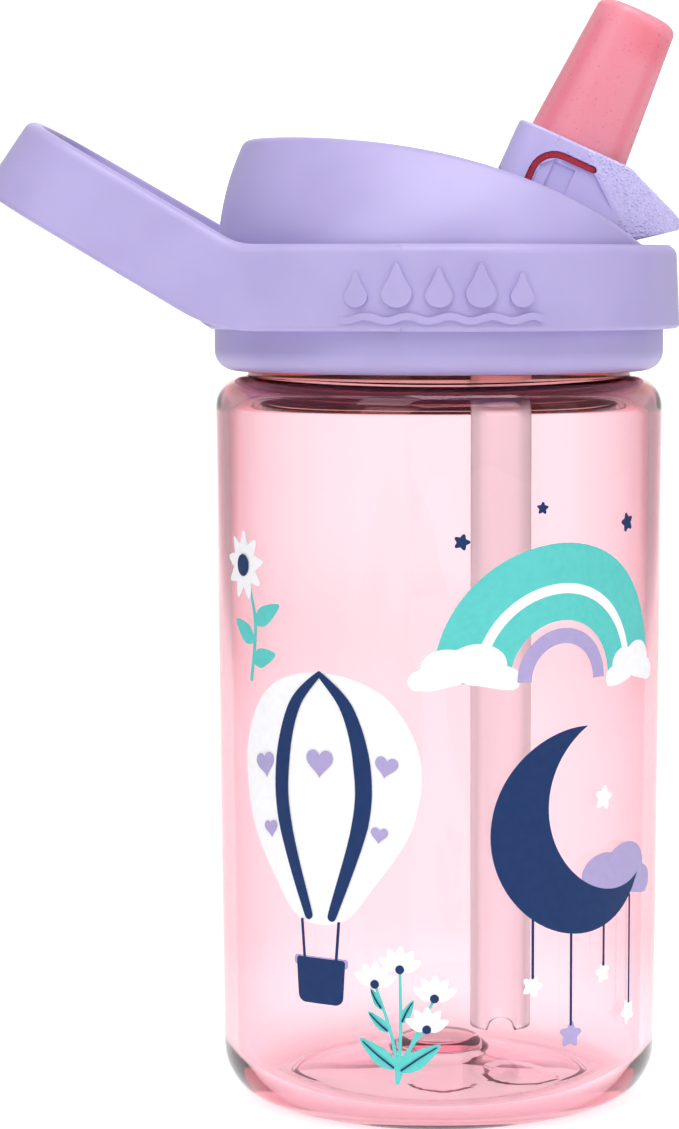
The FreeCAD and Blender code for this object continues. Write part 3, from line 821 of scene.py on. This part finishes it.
drops = {
    "talls": (5.4, 6.8, 6.0, 6.8, 5.4), "apart": 6.4, "footZ": 130.0, "slim": 0.34,
    "waveZ": 128.3, "waveRise": 0.35, "waveHalf": 15.8, "waveWidth": 1.1, "sunk": 0.3, "thick": 0.9, "step": 0.8,
}


def dropShape(tall):
    half = drops["slim"] * tall
    side = [(0.5, 0.66), (1.0, 0.34), (0.72, 0.09)]
    right = [(half * a, tall * b) for a, b in side]
    left = [(-half * a, tall * b) for a, b in side[::-1]]
    return smoothLoop([(0, tall), *right, (0, 0), *left], 6)


relief = [
    placed(dropShape(tall), drops["apart"] * (k - 2), drops["footZ"]) for k, tall in enumerate(drops["talls"])
]
wave = []
for k in range(41):
    u = -drops["waveHalf"] + 2 * drops["waveHalf"] * k / 40
    wave.append((u, drops["waveZ"] + drops["waveRise"] * math.sin(u * 2 * math.pi / drops["apart"])))
relief.append(ribbon(wave, [drops["waveWidth"]] * 41, 2))
raised = wrapped(
    "collarRelief", relief, collarRadius, lavender, -drops["sunk"], drops["thick"], drops["step"], 0.0
)
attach(raised, "lid")
print("relief raised")

loopRoot = {  # where the loop's arms leave the ring, in mm
    "stepFrom": -6.2, "stepTo": -5.3, "proudFrom": 0.03, "proudTo": 0.2, "liftX": -36.3, "liftSlope": 0.54,
    "sharp": math.radians(35),
}


def bandPiece():  # the frame's band and loop, merged, with the small step at the root of the arms smoothed
    root = loopRoot
    bm = bmesh.new()
    bm.from_mesh(nodes["lid_collar"].data)
    bmesh.ops.remove_doubles(bm, verts=bm.verts, dist=1e-6)
    for vertex in bm.verts:
        x, y, z = vertex.co / mm
        proud = math.hypot(x, y) - collarRadius(z)
        if root["stepFrom"] < x < root["stepTo"] and root["proudFrom"] < proud < root["proudTo"]:
            keep = collarRadius(z) / math.hypot(x, y)
            vertex.co.x *= keep
            vertex.co.y *= keep
        if x < root["liftX"]:  # the ring's lower corner follows the arms up
            vertex.co.z = max(z, collar["lowZ"] - root["liftSlope"] * (x - root["liftX"])) * mm
    rough = newObject("carryBandRough", bm, lavender)
    rough.data.set_sharp_from_angle(angle=root["sharp"])
    even = rough.modifiers.new("even", "WEIGHTED_NORMAL")
    even.keep_sharp = True
    even.weight = 100
    graph = bpy.context.evaluated_depsgraph_get()
    mesh = bpy.data.meshes.new_from_object(rough.evaluated_get(graph), depsgraph=graph)
    made = bpy.data.objects.new("carryBand", mesh)
    bpy.context.scene.collection.objects.link(made)
    bpy.data.objects.remove(rough)
    return made


band = bandPiece()
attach(band, "lid")
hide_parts("lid_collar")
print("band smoothed")

seal = {"width": 1.12, "inner": 8.1, "outer": 9.35, "bend": 3.8, "round": 0.15}


def spoutPlace(x, y, z):  # from the spout's own axes, in mm, to the frame
    c, s = math.cos(spoutSeat["lean"]), math.sin(spoutSeat["lean"])
    return (spoutSeat["x"] + (x * c + z * s) * mm, y * mm, spoutSeat["z"] + (z * c - x * s) * mm)


def sealPiece():  # red silicone showing in the curved slot on each side of the spout
    path = [(-5.4, 1.4), (-5.4, 4.6)]
    for k in range(7):
        angle = math.pi - k * math.radians(15)
        path.append((-1.6 + seal["bend"] * math.cos(angle), 5.7 + seal["bend"] * math.sin(angle)))
    path.append((3.5, 9.45))
    outline = ribbon(path, [seal["width"]] * len(path), 3)
    bm = bmesh.new()
    for side in (-1, 1):
        rings = []
        for y, shrink in ((seal["inner"], 0), (seal["outer"] - seal["round"], 0), (seal["outer"], seal["round"])):
            ring = []
            for i, p in enumerate(outline):
                way = (outline[(i + 1) % len(outline)] - outline[i - 1]).normalized()
                inset = p + Vector((way.y, -way.x)) * shrink
                ring.append(bm.verts.new(spoutPlace(inset.x, side * y, inset.y)))
            rings.append(ring)
        for low, high in zip(rings, rings[1:]):
            for i in range(len(outline)):
                k = (i + 1) % len(outline)
                bm.faces.new([low[i], low[k], high[k], high[i]])
        caps = [bm.faces.new(rings[0][::-1]), bm.faces.new(rings[-1])]
        bmesh.ops.triangulate(bm, faces=caps)
    bmesh.ops.recalc_face_normals(bm, faces=bm.faces)
    made = newObject("slotSeals", bm, redSilicone)
    made.data.set_sharp_from_angle(angle=math.radians(40))
    return made


seals = sealPiece()
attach(seals, "spout")
print("slots filled")

stipple = {
    "size": 0.22 * mm, "spacing": 0.42 * mm, "flat": 0.5, "seed": 7, "startX": 21.0 * mm,
    "smallest": 0.7, "largest": 1.15, "density": 9.0e6, "outward": 0.3, "upward": 0.5,
}


def stippleTree():  # low domes scattered over the outside of the thumb tab
    tree = bpy.data.node_groups.new("scatteredDomes", "GeometryNodeTree")
    addSockets(tree, "Domes", (
        ("Spout", "Geometry"), ("Dome Size", "Float"), ("Spacing", "Float"), ("Flatness", "Float"),
        ("Seed", "Int"), ("Finish", "Material"),
    ))
    flow = Flow(tree)
    given = flow.node("NodeGroupInput")
    place = flow.node("GeometryNodeInputPosition")
    normal = flow.node("GeometryNodeInputNormal")
    axes = flow.node("ShaderNodeSeparateXYZ", None, (place,))
    facing = flow.node("ShaderNodeSeparateXYZ", None, (normal,))
    sideways = facing.out("Y") * axes.maths("SIGN", axes.out("Y"))
    outward = sideways.maths("GREATER_THAN", sideways, stipple["outward"])
    upward = sideways.maths("GREATER_THAN", facing.out("Z"), stipple["upward"])
    outside = outward.maths("MAXIMUM", outward, upward)
    forward = axes.maths("GREATER_THAN", axes, stipple["startX"])
    chosen = tabMask(place) * outside * forward
    points = flow.node(
        "GeometryNodeDistributePointsOnFaces",
        {"distribute_method": "POISSON"},
        {
            "Mesh": given.out("Spout"), "Distance Min": given.out("Spacing"),
            "Density Max": stipple["density"], "Density Factor": chosen, "Seed": given.out("Seed"),
        },
    )
    dome = flow.node("GeometryNodeMeshIcoSphere", None, {"Radius": given.out("Dome Size"), "Subdivisions": 1})
    sizes = {2: stipple["smallest"], 3: stipple["largest"], "Seed": given.out("Seed")}
    size = flow.node("FunctionNodeRandomValue", {"data_type": "FLOAT"}, sizes, 1)
    scale = flow.node("ShaderNodeCombineXYZ", None, (size, size, size * given.out("Flatness")))
    laid = flow.node(
        "GeometryNodeInstanceOnPoints",
        None,
        {"Points": points, "Instance": dome, "Rotation": points.out("Rotation"), "Scale": scale},
    )
    return endTree(tree, laid, given.out("Finish"))


def stipplePiece():
    bm = bmesh.new()
    bm.from_mesh(nodes["flip_spout"].data)
    bmesh.ops.remove_doubles(bm, verts=bm.verts, dist=1e-6)
    rough = newObject("tabStippleRough", bm, stippledLavender)
    modifier = rough.modifiers.new("domes", "NODES")
    modifier.node_group = stippleTree()
    setInputs(modifier, {
        "Dome Size": stipple["size"], "Spacing": stipple["spacing"], "Flatness": stipple["flat"],
        "Seed": stipple["seed"], "Finish": stippledLavender,
    })
    return plainMesh("tabStipple", rough, stippledLavender)


domes = stipplePiece()
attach(domes, "spout")
print("tab stippled with", len(domes.data.polygons), "faces")

# finishes on the frame's own parts
for name, material in (
    ("lid_dome", lavender), ("lid_liner", lavender), ("flip_spout", stippledLavender),
    ("bite_valve", silicone), ("lid_gasket", silicone), ("vent_valve", silicone),
):
    part = nodes[name]
    part.data.materials.clear()
    part.data.materials.append(material)
print("frame parts finished")

studio = {  # the floor glows in rings round the bottle, each from one distance to another
    "worldGlow": 0.33, "nearGlow": 0.27, "underGlow": 0.42, "under": (0.15, 0.04),
    "midGlow": 0.10, "mid": (0.15, 0.55), "farGlow": 0.22, "far": (0.6, 1.25),
    "sweepHalf": 0.34, "sweepSoft": 0.18, "sweepSide": 0.1,
    "front": -5.0, "bendFrom": 1.0, "bend": 0.5, "top": 2.4, "half": 2.5,
}


def backdrop():  # a floor that curves up into a wall
    bm = bmesh.new()
    rows = [(studio["front"], 0.0)]
    for k in range(13):
        a = math.pi / 2 * k / 12
        rows.append((studio["bendFrom"] + studio["bend"] * math.sin(a), studio["bend"] * (1 - math.cos(a))))
    rows.append((studio["bendFrom"] + studio["bend"], studio["top"]))
    lines = [[bm.verts.new((x, y, z)) for x in (-studio["half"], studio["half"])] for y, z in rows]
    for low, high in zip(lines, lines[1:]):
        bm.faces.new([low[0], low[1], high[1], high[0]])
    bmesh.ops.recalc_face_normals(bm, faces=bm.faces)

    def paleNodes(flow, shader):
        place = objectPlace(flow)
        feed(shader, "Base Color", blended(noiseOn(place, 1 / 3), (0.93, 0.93, 0.935, 1), (0.95, 0.95, 0.95, 1)))
        axes = flow.node("ShaderNodeSeparateXYZ", None, (place,))
        away = flow.node("ShaderNodeVectorMath", {"operation": "LENGTH"}, (place,), "Value")
        dim = place.maths("ABSOLUTE", axes).band(studio["sweepHalf"], studio["sweepHalf"] + studio["sweepSoft"])
        glow = studio["nearGlow"] + away.band(*studio["under"]) * studio["underGlow"]
        glow = glow + away.band(*studio["mid"]) * studio["midGlow"] + away.band(*studio["far"]) * studio["farGlow"]
        glow = glow * (1 - dim * (1 - studio["sweepSide"]))
        feed(shader, "Emission Color", blended(glow, (0, 0, 0, 1), (1, 1, 1, 1)))

    pale = madeMaterial("paleFloor", {"Roughness": 0.9, "Emission Strength": 1.0}, paleNodes)
    return newObject("backdrop", bm, pale)


backdrop()

world = bpy.data.worlds.new("studioWorld")
bpy.context.scene.world = world
world.use_nodes = True
world.node_tree.nodes["Background"].inputs["Color"].default_value = (1, 1, 1, 1)
world.node_tree.nodes["Background"].inputs["Strength"].default_value = studio["worldGlow"]


def softbox(name, place, aim, size, power):
    light = bpy.data.lights.new(name, "AREA")
    light.shape = "RECTANGLE"
    light.size, light.size_y = size
    light.energy = power
    lamp = bpy.data.objects.new(name, light)
    lamp.location = place
    lamp.rotation_euler = (Vector(aim) - Vector(place)).to_track_quat("-Z", "Y").to_euler()
    bpy.context.scene.collection.objects.link(lamp)


softboxes = {  # place, aim, width and height, watts
    "topBox": ((0.10, -0.25, 1.05), (0, 0, 0.12), (0.7, 0.6), 6.8),
    "keyBox": ((-0.45, -0.75, 0.85), (0, 0, 0.1), (0.5, 0.5), 2.2),
    "wideStrip": ((-0.45, -0.72, 0.25), (0, 0, 0.12), (0.46, 1.4), 1.0),
    "rightBox": ((0.55, -0.80, 0.65), (0, 0, 0.14), (0.3, 0.4), 1.4),
    "sideStrip": ((0.75, -0.35, 0.2), (0, 0, 0.08), (0.3, 0.9), 0.5),
}
for name, settings in softboxes.items():
    softbox(name, *settings)

view = {"distance": 0.544, "height": 0.135, "pitch": 5.0, "lens": 105.7, "across": -0.0881}
camera = bpy.data.objects.new("camera", bpy.data.cameras.new("camera"))
camera.location = (0, -view["distance"], view["height"])
camera.rotation_euler = (math.radians(90 - view["pitch"]), 0, 0)
camera.data.lens = view["lens"]
camera.data.sensor_width = 36
camera.data.shift_x = view["across"]
camera.data.clip_start = 0.01
bpy.context.scene.collection.objects.link(camera)
bpy.context.scene.camera = camera
bpy.context.scene.view_settings.view_transform = "Standard"
print("studio set")
